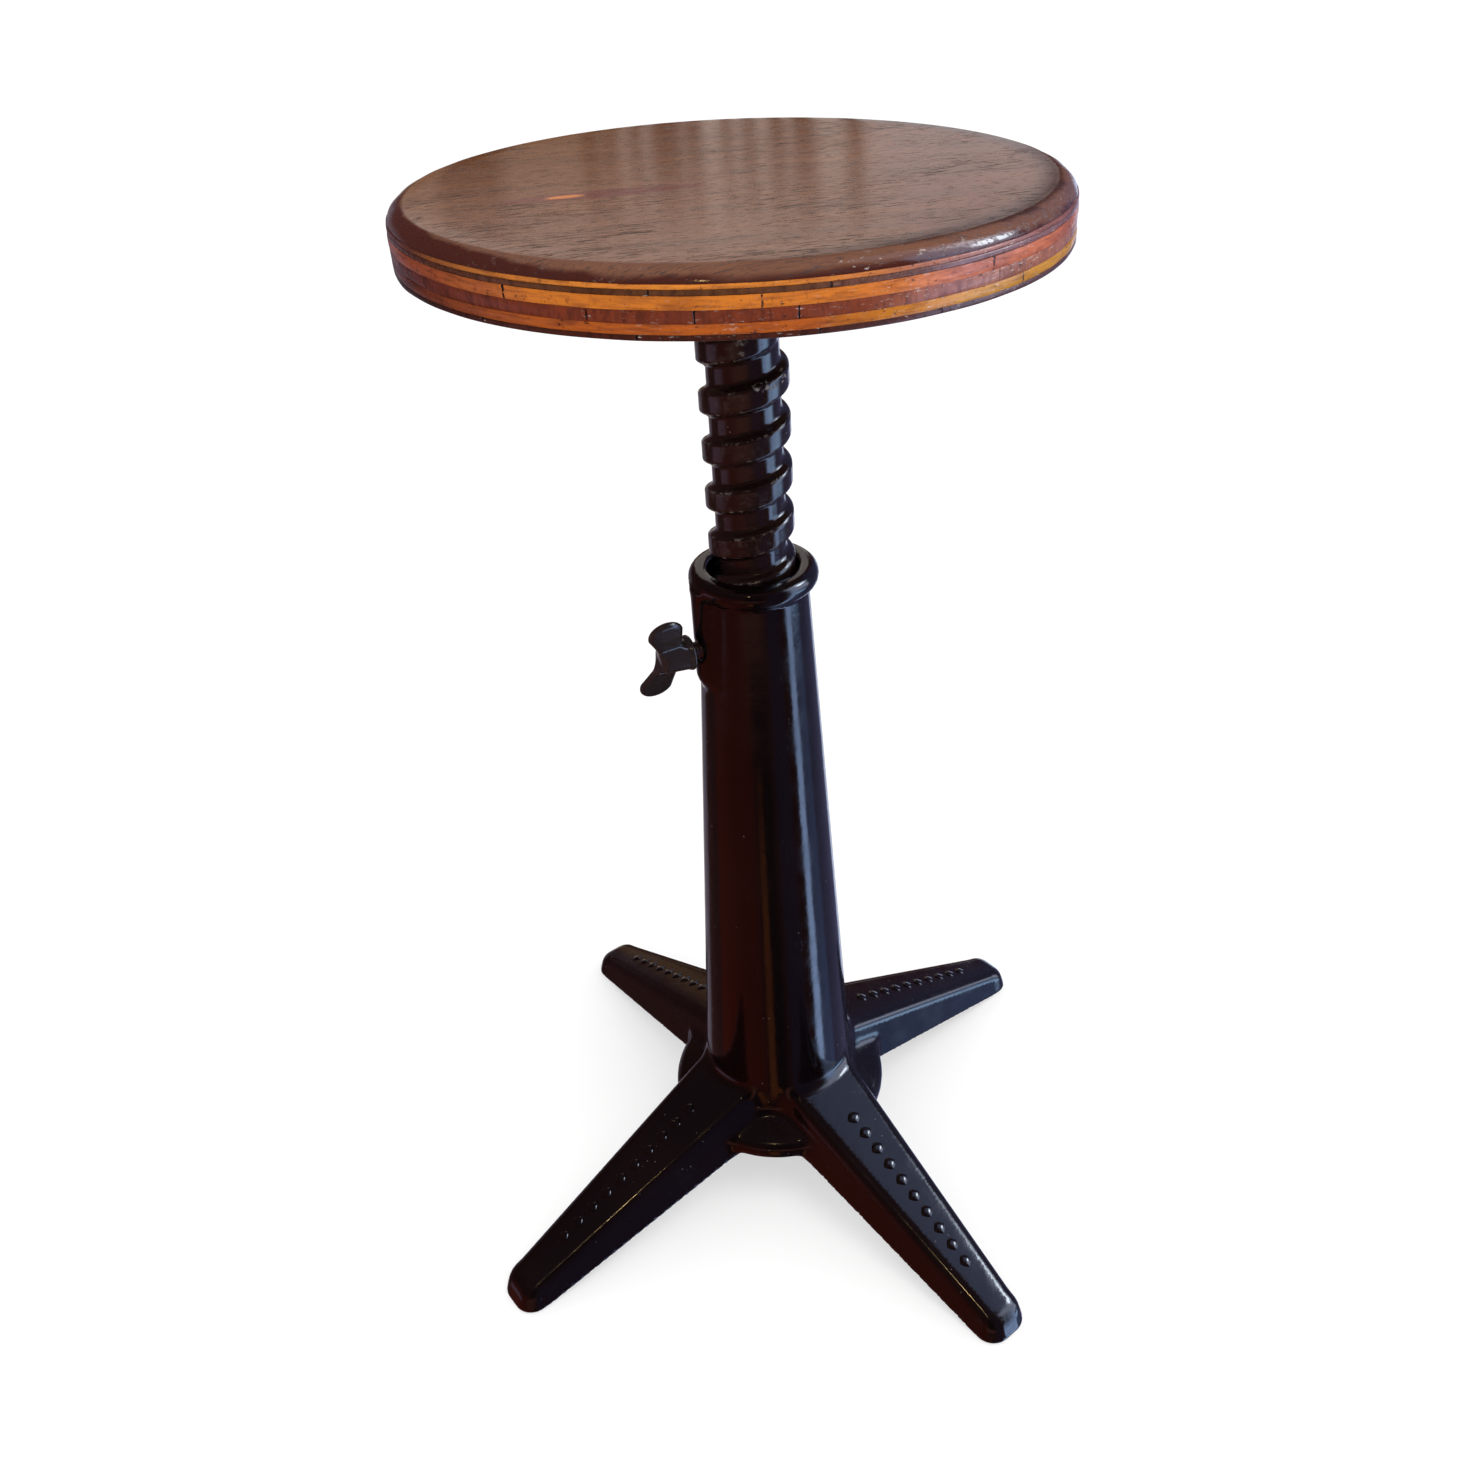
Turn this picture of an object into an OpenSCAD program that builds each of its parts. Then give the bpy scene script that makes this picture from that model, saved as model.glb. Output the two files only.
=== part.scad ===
// Adjustable swivel stool: a round plywood seat on a coarse screw spindle, which turns up and down in a
// thread nut inside a cast column on four legs. A wing screw in the column's side clamps the spindle.
// The origin is the middle of the four feet on the floor. +Z is up and the legs lie on the diagonals.

/* [Seat] */
// Diameter of the seat
seat_d = 320; // [300:5:350]
// Height of the seat's top above the floor, as the stool stands
seat_top = 652.6; // [650:0.2:660]
// Rounding of the seat's top edge
seat_round = 10; // [6:1:12]
// Rounding of the seat's bottom edge
seat_ease = 1.5; // [1:0.5:3]

/* [Spindle] */
// Radius of the spindle over its thread
thread_r = 23.5; // [22.5:0.5:24]
// Radius at the bottom of the thread's groove, and of the plain ends
core_r = 19; // [17:0.5:20]
// Rise of the right-hand, one-start thread in a turn
lead = 26.5; // [25:0.5:28]
// Width of the thread's ridge at its crest
crest_w = 10.8; // [9:0.2:12]
// Width of the thread's ridge at its root
root_w = 16.2; // [14:0.2:17]
// Height at which a ridge crosses the +X side
ridge_z = 530; // [520:0.5:540]
// Height of the spindle's lower end
spindle_bot = 308; // [306:0.5:309]

/* [Column] */
// Outer radius of the column where it meets the hub
column_r = 50.1; // [48:0.1:52]
// Outer radius of the column just under its collar
neck_r = 30.3; // [30:0.1:32]
// Height of the top of the collar
collar_top = 450; // [448:0.5:451]
// Outer radius of the collar's bead
bead_r = 36; // [35:0.5:38]
// Height of the collar's bead
bead_h = 12; // [10:0.5:14]
// Radius of the plain bore at the top of the column
bore_r = 25.3; // [25:0.1:26]
// Thickness of the column's wall
wall = 5; // [4:0.5:6]

/* [Hub and legs] */
// Radius of the hub disc
hub_r = 72; // [70:1:76]
// Height of the hub's underside
hub_bot = 45; // [42:1:48]
// Height of the hub's top at the column
hub_top = 66; // [64:1:68]
// Distance from the axis to a leg's tip
leg_reach = 223.4; // [215:0.2:235]
// Radius of a leg's rounded tip on the floor
tip_r = 17.6; // [16:0.2:20]
// Height of a leg's tip
tip_h = 15; // [12:1:18]
// Half the width of a leg's underside at the hub
root_half = 33; // [30:1:35]
// Half the width of a leg's top at the column
root_top_half = 25; // [22:1:27]
// Height of a leg's top at the column
root_top = 83; // [78:1:88]

/* [Clamp] */
// Direction of the wing screw about +Z, from +X
clamp_az = 213; // [205:1:225]
// Height of the wing screw
clamp_z = 406; // [403:1:410]
// Radius of the wing screw's shank
shank_r = 5; // [4:0.5:5.5]
// Lean of the wings from upright
wing_lean = 27; // [0:1:45]
// Distance of each wing's lobe from the screw's axis
wing_h = 24.2; // [20:0.1:26]
// Radius of each wing's lobe
lobe_r = 10; // [8:0.5:11]

/* [Fits] */
// Gap between the spindle's thread and the nut's
thread_gap = 0.55; // [0.4:0.05:0.7]
// Radial gap round the wing screw's shank and the pressure pad
shank_gap = 0.08; // [0.05:0.01:0.1]
// Gap between the pressure pad and the thread's crest
pad_gap = 0.3; // [0.3:0.05:0.5]
// Gap round the loose stop washer
washer_gap = 0.4; // [0.3:0.05:0.6]

/* [Hidden] */
// Thickness of each ply, from the bottom up
PLY_T = [2.9, 4.1, 5.3, 5.3, 2.4, 1.8, 6.6];
PLIES = len(PLY_T);
LEGS = ["back_right", "back_left", "front_left", "front_right"];

$fn = 72;
seat_r = seat_d / 2;
seat_t = ply_stack(PLIES);
seat_bot = seat_top - seat_t;
SCREWED_PLIES = 3;

flange_r = 58;
flange_t = 6;
flange_hub_r = 30;
flange_hub_bot = collar_top + 1 + 5.5 * lead;
flange_bot = seat_bot - flange_t;
pin_r = 4;
pin_z = (flange_hub_bot + flange_bot) / 2;
screw_pcd_r = 45;
screw_r = 2.5;
screw_head_r = 5.4;
screw_len = 18;

nut_top = 385;
nut_bot = 335.5;
nut_r = 28;
nut_pin_r = 3;
nut_pin_z = 360;
nut_pin_az = 45;
column_slope = (column_r - neck_r) / (collar_top - bead_h - hub_top);
cavity_r = nut_r + 3;
hollow_r = column_r - wall;

washer_t = 4.8;
washer_r = 29;
washer_top = spindle_bot - washer_gap;
bolt_r = 5;
bolt_head_r = 9;
bolt_head_h = 6;
bolt_depth = 30;

boss_r = 10.5;
boss_x = 27;
boss_bot = 380;
pad_len = 6.4;
pad_x = thread_r + pad_gap;
tip_corner = 13;

wing_x = 40.8;
wing_len = 18.8;
wing_t = 4;
STEPS = 36;
FADE_STEPS = 8;

function column_outer(z) = column_r - column_slope * (z - hub_top);
function ply_stack(k) = k == 0 ? 0 : ply_stack(k - 1) + PLY_T[k - 1];
function turn_at(z) = (z - ridge_z) / lead;

// The points of the threaded rod at step k round it, from its lower end to its upper end: four points over
// each ridge from turn lo to turn hi. The ridge rises from the core at its start and sinks at its end.
function rod_line(k, lo, hi, z_lo, z_hi, gap) = [
    for (p = concat(
        [[core_r + gap, z_lo]],
        [for (j = [lo:hi]) each ridge_points(k, j, lo, hi, gap)],
        [[core_r + gap, z_hi]]
    )) [p[0] * cos(360 * k / STEPS), p[0] * sin(360 * k / STEPS), p[1]]
];

function ridge_points(k, j, lo, hi, gap) =
    let (
        done = k + STEPS * (j - lo),
        left = STEPS * (hi - lo + 1) - 1 - done,
        crest = core_r + gap + (thread_r - core_r) * min(1, done / FADE_STEPS, left / FADE_STEPS),
        mid = ridge_z + lead * (k / STEPS + j)
    ) [
        [core_r + gap, mid - root_w / 2 - gap],
        [crest, mid - crest_w / 2 - gap],
        [crest, mid + crest_w / 2 + gap],
        [core_r + gap, mid + root_w / 2 + gap]
    ];

// A rod with the thread's ridge from turn lo to turn hi, grown by gap. The last step joins each ridge to
// the next turn of itself, so its points there are four places on.
module threaded_rod(lo, hi, z_lo, z_hi, gap = 0) {
    count = 4 * (hi - lo + 1) + 2;
    last = STEPS - 1;
    points = [for (k = [0:last]) each rod_line(k, lo, hi, z_lo, z_hi, gap)];
    sides = [
        for (k = [0:last - 1], i = [0:count - 2])
            let (a = k * count + i, b = a + count)
                each [[a, a + 1, b + 1], [a, b + 1, b]]
    ];
    seam = [
        for (i = [1:count - 7])
            let (a = last * count + i, b = i + 4)
                each [[a, a + 1, b + 1], [a, b + 1, b]]
    ];
    foot = last * count;
    head = last * count + count - 6;
    lower = [for (b = [0:4]) [foot + 1, b + 1, b]];
    upper = [for (a = [0:4]) [count - 2, head + a, head + a + 1]];
    ends = [
        [foot, foot + 1, 0],
        [count - 2, foot + count - 1, count - 1],
        [for (k = [0:last]) k * count],
        [for (k = [0:last]) (last - k) * count + count - 1]
    ];
    polyhedron(points, concat(sides, seam, lower, upper, ends));
}

module column_envelope() {
    translate([0, 0, hub_top])
        cylinder(h = collar_top - bead_h - hub_top, r1 = column_r, r2 = neck_r);
}

module hub_envelope() {
    rim = 4;
    rotate_extrude() {
        polygon([
            [0, hub_bot], [hub_r, hub_bot], [hub_r, hub_bot + 8.5], [hub_r - rim + 1.7, hub_bot + 12.1],
            [column_r, hub_top], [0, hub_top]
        ]);
        translate([hub_r - rim, hub_bot + 8.5]) circle(rim);
    }
}

module collar_bead() {
    corner = bead_h / 2 - 1;
    rotate_extrude() {
        translate([0, collar_top - bead_h]) square([bead_r - corner, bead_h]);
        translate([0, collar_top - bead_h + corner]) square([bead_r, bead_h - 2 * corner]);
        for (z = [corner, bead_h - corner])
            translate([bead_r - corner, collar_top - bead_h + z]) circle(corner);
    }
}

module clamp_boss() {
    rotate([0, 0, clamp_az]) translate([boss_x, 0, boss_bot + boss_r]) {
        cylinder(h = collar_top - bead_h / 2 - boss_bot - boss_r, r = boss_r);
        sphere(boss_r);
    }
}

module column() {
    color("#1b1817") difference() {
        union() {
            column_envelope();
            collar_bead();
            clamp_boss();
        }
        translate([0, 0, nut_top - 1]) cylinder(h = collar_top - nut_top + 2, r = bore_r);
        translate([0, 0, nut_bot - 1]) cylinder(h = nut_top - nut_bot + 1, r = nut_r);
        translate([0, 0, hub_top])
            cylinder(h = nut_bot - hub_top, r1 = hollow_r, r2 = cavity_r);
        translate([0, 0, hub_top - 1]) cylinder(h = 1, r = hollow_r);
        along_clamp(bore_r - 2) cylinder(h = 20, r = shank_r + shank_gap);
        along_nut_pin(nut_r - 1) cylinder(h = 12, r = nut_pin_r);
    }
}

module hub() {
    color("#1b1817") difference() {
        hub_envelope();
        translate([0, 0, hub_bot - 1]) cylinder(h = hub_top - hub_bot + 2, r = hollow_r);
    }
}

// A thin slab across a leg at distance x, between two heights and narrower at the top
module leg_slab(x, z_lo, z_hi, half_lo, half_hi) {
    translate([x, 0, 0]) rotate([90, 0, 90]) linear_extrude(0.5)
        polygon([[-half_lo, z_lo], [half_lo, z_lo], [half_lo, z_lo + 6], [half_hi, z_hi], [-half_hi, z_hi],
            [-half_lo, z_lo + 6]]);
}

module leg(k) {
    start = 46;
    tip_x = leg_reach - tip_r;
    hollow_end = tip_x - 21;
    color("#1b1817") rotate([0, 0, 45 + 90 * k]) difference() {
        hull($fn = 32) {
            leg_slab(start, hub_bot, root_top, root_half, root_top_half);
            for (side = [-1, 1]) translate([leg_reach - tip_corner, side * (tip_r - tip_corner), 0]) {
                cylinder(h = 5, r = tip_corner);
                cylinder(h = tip_h, r = tip_corner - 4.5);
            }
        }
        hull() {
            leg_slab(start - 1, hub_bot - 14, root_top - wall, root_half - wall, root_top_half - wall);
            leg_slab(hollow_end, -10, tip_h + 7, tip_r - wall, tip_r - 8);
        }
        column_envelope();
        hub_envelope();
        translate([0, 0, hub_bot - 20]) cylinder(h = 21, r = hub_r);
    }
}

module along_clamp(x) {
    rotate([0, 0, clamp_az]) translate([x, 0, clamp_z]) rotate([0, 90, 0]) children();
}

module along_nut_pin(x) {
    rotate([0, 0, nut_pin_az]) translate([x, 0, nut_pin_z]) rotate([0, 90, 0]) children();
}

module thread_nut() {
    lo = floor(turn_at(nut_bot)) - 2;
    hi = ceil(turn_at(nut_top)) + 1;
    color("#4a4643") difference() {
        translate([0, 0, nut_bot]) cylinder(h = nut_top - nut_bot, r = nut_r);
        threaded_rod(lo, hi, ridge_z + lead * lo - root_w, ridge_z + lead * (hi + 1) + root_w, thread_gap);
        along_nut_pin(nut_r - 3) cylinder(h = 4, r = nut_pin_r);
    }
}

module nut_pin() {
    color("#8d8a86") along_nut_pin(nut_r - 3)
        cylinder(h = column_outer(nut_pin_z) - nut_r + 2.6, r = nut_pin_r);
}

module spindle() {
    lo = ceil(turn_at(spindle_bot + root_w / 2));
    hi = floor(turn_at(flange_hub_bot - root_w / 2)) - 1;
    color("#1b1817") difference() {
        threaded_rod(lo, hi, spindle_bot, seat_bot - 0.2);
        translate([0, 0, spindle_bot - 1]) cylinder(h = bolt_depth + 3, r = bolt_r);
        translate([-core_r - 1, 0, pin_z]) rotate([0, 90, 0]) cylinder(h = 2 * core_r + 2, r = pin_r);
    }
}

module end_bolt() {
    color("#8d8a86") {
        translate([0, 0, spindle_bot - washer_t - 2 * washer_gap])
            cylinder(h = bolt_depth + washer_t + 2 * washer_gap, r = bolt_r);
        translate([0, 0, spindle_bot - washer_t - 2 * washer_gap - bolt_head_h])
            linear_extrude(bolt_head_h) circle(bolt_head_r, $fn = 6);
    }
}

module stop_washer() {
    color("#8d8a86") translate([0, 0, washer_top - washer_t]) difference() {
        cylinder(h = washer_t, r = washer_r);
        translate([0, 0, -1]) cylinder(h = washer_t + 2, r = bolt_r + washer_gap);
    }
}

module seat_flange() {
    color("#1b1817") difference() {
        rotate_extrude() polygon([
            [core_r + 0.1, flange_hub_bot], [flange_hub_r - 1.5, flange_hub_bot],
            [flange_hub_r, flange_hub_bot + 1.5], [flange_hub_r, flange_bot - 5],
            [flange_hub_r + 5, flange_bot], [flange_r - 2, flange_bot], [flange_r, flange_bot + 2],
            [flange_r, seat_bot], [core_r + 0.1, seat_bot]
        ]);
        for (a = [45:90:315]) rotate([0, 0, a]) translate([screw_pcd_r, 0, flange_bot]) {
            translate([0, 0, -1]) cylinder(h = flange_t + 2, r = screw_r + 0.4);
            cylinder(h = 3.2, r1 = screw_head_r + 0.2, r2 = screw_r + 0.4);
        }
        translate([-flange_hub_r - 1, 0, pin_z]) rotate([0, 90, 0])
            cylinder(h = 2 * flange_hub_r + 2, r = pin_r);
    }
}

module flange_pin() {
    color("#8d8a86") translate([-flange_hub_r, 0, pin_z]) rotate([0, 90, 0])
        cylinder(h = 2 * flange_hub_r, r = pin_r - 0.05);
}

// Four countersunk wood screws with a slot across each head
module seat_screws() {
    color("#8d8a86") for (a = [45:90:315]) rotate([0, 0, a]) translate([screw_pcd_r, 0, flange_bot])
        difference() {
            rotate_extrude() polygon([
                [0, 0], [screw_head_r, 0], [screw_r, 3], [screw_r, screw_len - 3], [0.4, screw_len],
                [0, screw_len]
            ]);
            translate([-screw_head_r, -0.6, -1]) cube([2 * screw_head_r, 1.2, 2.2]);
        }
}

module seat_outline() {
    square([seat_r - seat_round, seat_t]);
    translate([0, seat_ease]) square([seat_r, seat_t - seat_round - seat_ease]);
    square([seat_r - seat_ease, seat_round]);
    translate([seat_r - seat_round, seat_t - seat_round]) circle(seat_round);
    translate([seat_r - seat_ease, seat_ease]) circle(seat_ease);
}

// One ply of the seat: the slice of the rounded disc at its own height
module seat_ply(k) {
    color(k % 2 == 1 ? "#5d3226" : "#b8682c") difference() {
        rotate_extrude($fn = 144) intersection() {
            translate([0, seat_bot]) seat_outline();
            translate([0, seat_bot + ply_stack(k - 1)]) square([seat_r + 1, PLY_T[k - 1]]);
        }
        if (k <= SCREWED_PLIES)
            for (a = [45:90:315]) rotate([0, 0, a]) translate([screw_pcd_r, 0, flange_bot])
                cylinder(h = screw_len + 0.5, r = screw_r);
    }
}

module pressure_pad() {
    color("#b08d4a") along_clamp(pad_x) cylinder(h = pad_len, r = shank_r);
}

// One wing, from the screw's hub out to its round lobe. side is 1 for the upper wing, -1 for the lower
module wing(side) {
    hull() {
        translate([wing_x + 10.4, wing_t / 2, 0]) rotate([90, 0, 0])
            cylinder(h = wing_t, r = 6.2, $fn = 32);
        translate([wing_x + 18, wing_t / 2, side * wing_h]) rotate([90, 0, 0])
            cylinder(h = wing_t, r = lobe_r, $fn = 32);
    }
}

module wing_screw() {
    color("#1b1817") rotate([0, 0, clamp_az]) translate([0, 0, clamp_z]) rotate([-wing_lean, 0, 0]) {
        rotate([0, 90, 0]) {
            translate([0, 0, pad_x + pad_len + 0.3])
                cylinder(h = wing_x - pad_x - pad_len + 2, r = shank_r);
            translate([0, 0, wing_x]) cylinder(h = 2.6, r = 10);
            translate([0, 0, wing_x]) cylinder(h = wing_len, r1 = 9.4, r2 = 7.8);
        }
        wing(1);
        wing(-1);
    }
}

column();
hub();
for (k = [0:3]) leg(k);
thread_nut();
nut_pin();
spindle();
end_bolt();
stop_washer();
seat_flange();
flange_pin();
seat_screws();
for (k = [1:PLIES]) seat_ply(k);
pressure_pad();
wing_screw();
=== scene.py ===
"""Looks for the adjustable swivel stool.

The sizes are in millimetres, as on the drawing, and each mesh is scaled to metres when it is made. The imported
model gives the frame, and every piece rides on one of its bodies.
"""

import itertools
import math

import bpy
import numpy as np
from mathutils import Euler, Matrix, Vector


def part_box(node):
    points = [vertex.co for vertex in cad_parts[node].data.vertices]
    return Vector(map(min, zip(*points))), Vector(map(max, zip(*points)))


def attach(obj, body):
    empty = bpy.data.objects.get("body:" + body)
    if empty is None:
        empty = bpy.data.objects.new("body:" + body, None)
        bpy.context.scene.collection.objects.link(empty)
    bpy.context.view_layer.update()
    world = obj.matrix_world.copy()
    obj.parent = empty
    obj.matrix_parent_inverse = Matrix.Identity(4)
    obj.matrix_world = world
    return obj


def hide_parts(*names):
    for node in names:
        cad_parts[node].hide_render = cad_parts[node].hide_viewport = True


MM = 0.001
CAST_STEP, THREAD_STEP, WING_STEP, SHANK_STEP, QUICK_STEP = 2.2, 0.55, 0.75, 0.15, 1.6

# Column and collar
COLUMN_R, NECK_R, COLUMN_BOT, NECK_TOP = 50.1, 30.3, 66.0, 438.0
COLLAR_TOP, BEAD_R, BEAD_H = 450.0, 36.0, 12.0
BORE_R, NUT_R, NUT_BOT, NUT_TOP, CAVITY_R, HOLLOW_R = 25.3, 28.0, 335.5, 385.0, 31.0, 45.1
BOSS_R, BOSS_X, BOSS_BOT = 10.5, 27.0, 380.0
# Hub and legs
HUB_R, HUB_BOT, HUB_TOP = 72.0, 45.0, 66.0
LEG_START, LEG_TIP_X, TIP_R, TIP_TOP_R, TIP_H, TIP_CORNER = 46.0, 205.8, 17.6, 13.1, 15.0, 13.0
ROOT_HALF, ROOT_TOP_HALF, ROOT_TOP, LEG_WALL, LEG_HOLLOW_END = 33.0, 25.0, 83.0, 5.0, 185.0
CROWN, TIP_LEN = 0.9, 30.0
# Roundings and fillets of the casting
BEAD_ROUND, BEAD_FILLET, BOSS_FILLET, RIM_ROUND, HUB_ROUND = 6.5, 3.0, 5.0, 4.0, 5.0
LEG_ROUND, FOOT_ROUND, ROOT_FILLET, BORE_ROUND = 6.0, 2.5, 6.5, 2.0
# The lozenges on each leg: how many, the first one's place, their pitch, size and outline
MARKS, MARK_FROM, MARK_PITCH, MARK_HALF, MARK_WIDE, MARK_NARROWING = 10, 78.0, 11.5, 4.2, 5.2, 0.12
MARK_SIDES, MARK_POWER = 12, 1.3
MARK_RINGS = ((1.0, -0.5), (0.92, 0.45), (0.6, 0.95), (0.25, 1.1))  # share of the outline, height
# Spindle
CORE_R, THREAD_R, LEAD, CREST_HALF, ROOT_W_HALF, RIDGE_Z = 19.0, 23.5, 26.5, 5.4, 8.1, 530.0
FIRST_TURN, LAST_TURN, FADE_DEG, THREAD_SOFT = -8, 1 + 35 / 36, 80.0, 1.7
# Where the enamel has chipped off the highest ridge, and how much of it shows there and on the crests
CHIP_AZ, CHIP_HALF, CHIP_Z, CHIP_LOW, CHIP_HIGH = -43.0, 27.0, 563.0, 1.5, 6.5
CHIP_WEAR, CREST_WEAR = 2.0, 0.6
# Wing screw
CLAMP_AZ, CLAMP_Z, WING_LEAN, SHANK_R = 213.0, 406.0, 27.0, 5.0
WING_X, WING_LEN, WING_H, LOBE_R, WING_ROOT_R = 40.8, 18.8, 24.2, 10.0, 6.2
WING_HUB_R, WING_HUB_TAPER, WING_COLLAR_R, WING_COLLAR_H = 9.4, 1.6, 10.0, 2.6
WING_ROOT_X, WING_LOBE_X, WING_HALF_T = 10.4, 18.0, 2.3
SHANK_PITCH, SHANK_DEPTH = 1.5, 0.75
# Seat
SEAT_R, SEAT_ROUND, SEAT_EASE = 160.0, 10.0, 1.5
WORN_FROM, WORN_DROP = 140.0, 0.35  # the top is rubbed down a little towards its rim
SEAT_COLUMNS, ARC_RINGS, EDGE_RINGS = 288, 24, 6
EDGE_MARGIN, CORNER_SUNK, ORANGE_SUNK = 0.25, 0.32, 0.12  # how far a ply's edge stays inside the outline
GRAIN_TURN = 21  # how far the grain of the seat's top slants, in degrees
REPAIR_AT, REPAIR_HALF = (-52.5, -35.5), (47.0, 8.5)
KNOT_AT, KNOT_HALF = (-70.2, -41.8), (10.5, 3.6)


# ---- fields: each gives the signed distance, roughly, from a shape to points x, y, z ----


def smooth_min(a, b, k):
    h = np.maximum(k - np.abs(a - b), 0) / k
    return np.minimum(a, b) - h * h * k / 4


def smooth_max(a, b, k):
    return -smooth_min(-a, -b, k)


def column_field(x, y, z):
    """The tapered column with its collar and the boss for the clamp screw."""
    rho = np.hypot(x, y)
    slope = (COLUMN_R - NECK_R) / (NECK_TOP - COLUMN_BOT)
    shaft = rho - (COLUMN_R - slope * (z - COLUMN_BOT))
    shaft = np.maximum(shaft, np.maximum(z - COLLAR_TOP + 3, HUB_BOT + 5 - z))
    bead = smooth_max(rho - BEAD_R, np.abs(z - COLLAR_TOP + BEAD_H / 2) - BEAD_H / 2, BEAD_ROUND)
    a = math.radians(CLAMP_AZ)
    below = np.minimum(z - BOSS_BOT - BOSS_R, 0)
    side = np.hypot(x - BOSS_X * math.cos(a), y - BOSS_X * math.sin(a))
    boss = np.maximum(np.hypot(side, below) - BOSS_R, z - COLLAR_TOP + BEAD_H * 0.6)
    return smooth_min(smooth_min(shaft, boss, BOSS_FILLET), bead, BEAD_FILLET)


def hub_field(x, y, z):
    """The disc that the column and legs stand on, with a rounded rim."""
    rho = np.hypot(x, y)
    top = (z - (HUB_TOP - (rho - COLUMN_R) * 0.45)) * 0.91
    rim = smooth_max(rho - HUB_R, HUB_BOT - z, RIM_ROUND)
    return smooth_max(rim, top, HUB_ROUND)


def leg_fields(x, y, z):
    """(outside of the leg, hollow under it) for the leg in each quarter.

    The factors just under 1 make up for the slope of each side.
    """
    along = (np.abs(x) + np.abs(y)) / math.sqrt(2)
    across = (np.abs(y) - np.abs(x)) / math.sqrt(2)
    t = (along - LEG_START) / (LEG_TIP_X - LEG_START)
    t_side = np.minimum(t, 1)
    bottom = np.maximum(HUB_BOT * (1 - t), 0)
    reach = LEG_TIP_X + TIP_TOP_R - LEG_START
    top = ROOT_TOP - (ROOT_TOP - TIP_H) * (along - LEG_START) / reach
    low_half = ROOT_HALF + (TIP_R - ROOT_HALF) * t_side
    high_half = ROOT_TOP_HALF + (TIP_TOP_R - ROOT_TOP_HALF) * t_side
    share = np.clip((z - bottom) / np.maximum(top - bottom, 6), -0.2, 1.2)
    half = low_half + (high_half - low_half) * share
    corner = TIP_CORNER - (TIP_R - half) * (along > LEG_TIP_X - TIP_LEN)
    corner = np.clip(corner, 5, TIP_CORNER)
    past = along - (LEG_TIP_X + np.minimum(half, TIP_R) - corner)
    beside = np.abs(across) - (half - corner)
    rounded = np.hypot(np.maximum(past, 0), np.maximum(beside, 0))
    crown = CROWN * (np.minimum(np.abs(across), half) / np.maximum(half, 1)) ** 2
    side = (rounded + np.minimum(np.maximum(past, beside), 0) - corner) * 0.96
    upper = (z - top + crown) * 0.93
    shell = smooth_max(side, upper, LEG_ROUND)
    outside = smooth_max(shell, (bottom - z) * 0.96, FOOT_ROUND)
    outside = np.maximum(outside, LEG_START - 26 - along)
    hollow = smooth_max(np.maximum(side, upper) + LEG_WALL, along - LEG_HOLLOW_END, LEG_ROUND)
    return outside, np.maximum(hollow, HUB_R - 14 - along)


def bore_field(x, y, z):
    """Everything hollow inside the column and the hub, and the clamp screw's hole."""
    rho = np.hypot(x, y)
    cone = HOLLOW_R + (CAVITY_R - HOLLOW_R) * np.clip((z - HUB_TOP) / (NUT_BOT - HUB_TOP), 0, 1)
    bore = np.maximum(rho - cone, z - NUT_BOT)
    bore = np.minimum(bore, np.maximum(rho - NUT_R - 0.05, z - NUT_TOP))
    bore = np.minimum(bore, rho - BORE_R)
    a = math.radians(CLAMP_AZ)
    out = x * math.cos(a) + y * math.sin(a)
    off = np.hypot(-x * math.sin(a) + y * math.cos(a), z - CLAMP_Z)
    return np.minimum(bore, np.maximum(off - SHANK_R - 0.3, 15 - out))


def pedestal_field(x, y, z):
    legs, hollows = leg_fields(x, y, z)
    body = smooth_min(column_field(x, y, z), hub_field(x, y, z), HUB_ROUND)
    body = smooth_min(body, legs, ROOT_FILLET)
    body = smooth_max(body, -bore_field(x, y, z), BORE_ROUND)
    return smooth_max(body, -hollows, FOOT_ROUND)


def wing_screw_field(x, y, z):
    """The cast head: a tapered hub with a collar and two wings. x runs along the screw, z up the wings."""
    rho = np.hypot(y, z)
    mid = WING_X + WING_LEN / 2
    hub_r = WING_HUB_R - WING_HUB_TAPER * (x - WING_X) / WING_LEN
    hub = smooth_max(rho - hub_r, np.abs(x - mid) - WING_LEN / 2, 3)
    half = WING_COLLAR_H / 2
    collar = smooth_max(rho - WING_COLLAR_R, np.abs(x - WING_X - half) - half, 1.6)
    root, lobe = np.array([WING_X + WING_ROOT_X, 0]), np.array([WING_X + WING_LOBE_X, WING_H])
    line = lobe - root
    t = np.clip(((x - root[0]) * line[0] + (np.abs(z) - root[1]) * line[1]) / line.dot(line), 0, 1)
    plate = np.hypot(x - root[0] - t * line[0], np.abs(z) - t * line[1])
    plate = plate - WING_ROOT_R - (LOBE_R - WING_ROOT_R) * t**1.5
    wings = smooth_max(plate, np.abs(y) - WING_HALF_T + 0.3 * t, 2.6)
    return smooth_min(smooth_min(hub, collar, 1.5), wings, 4)


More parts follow.
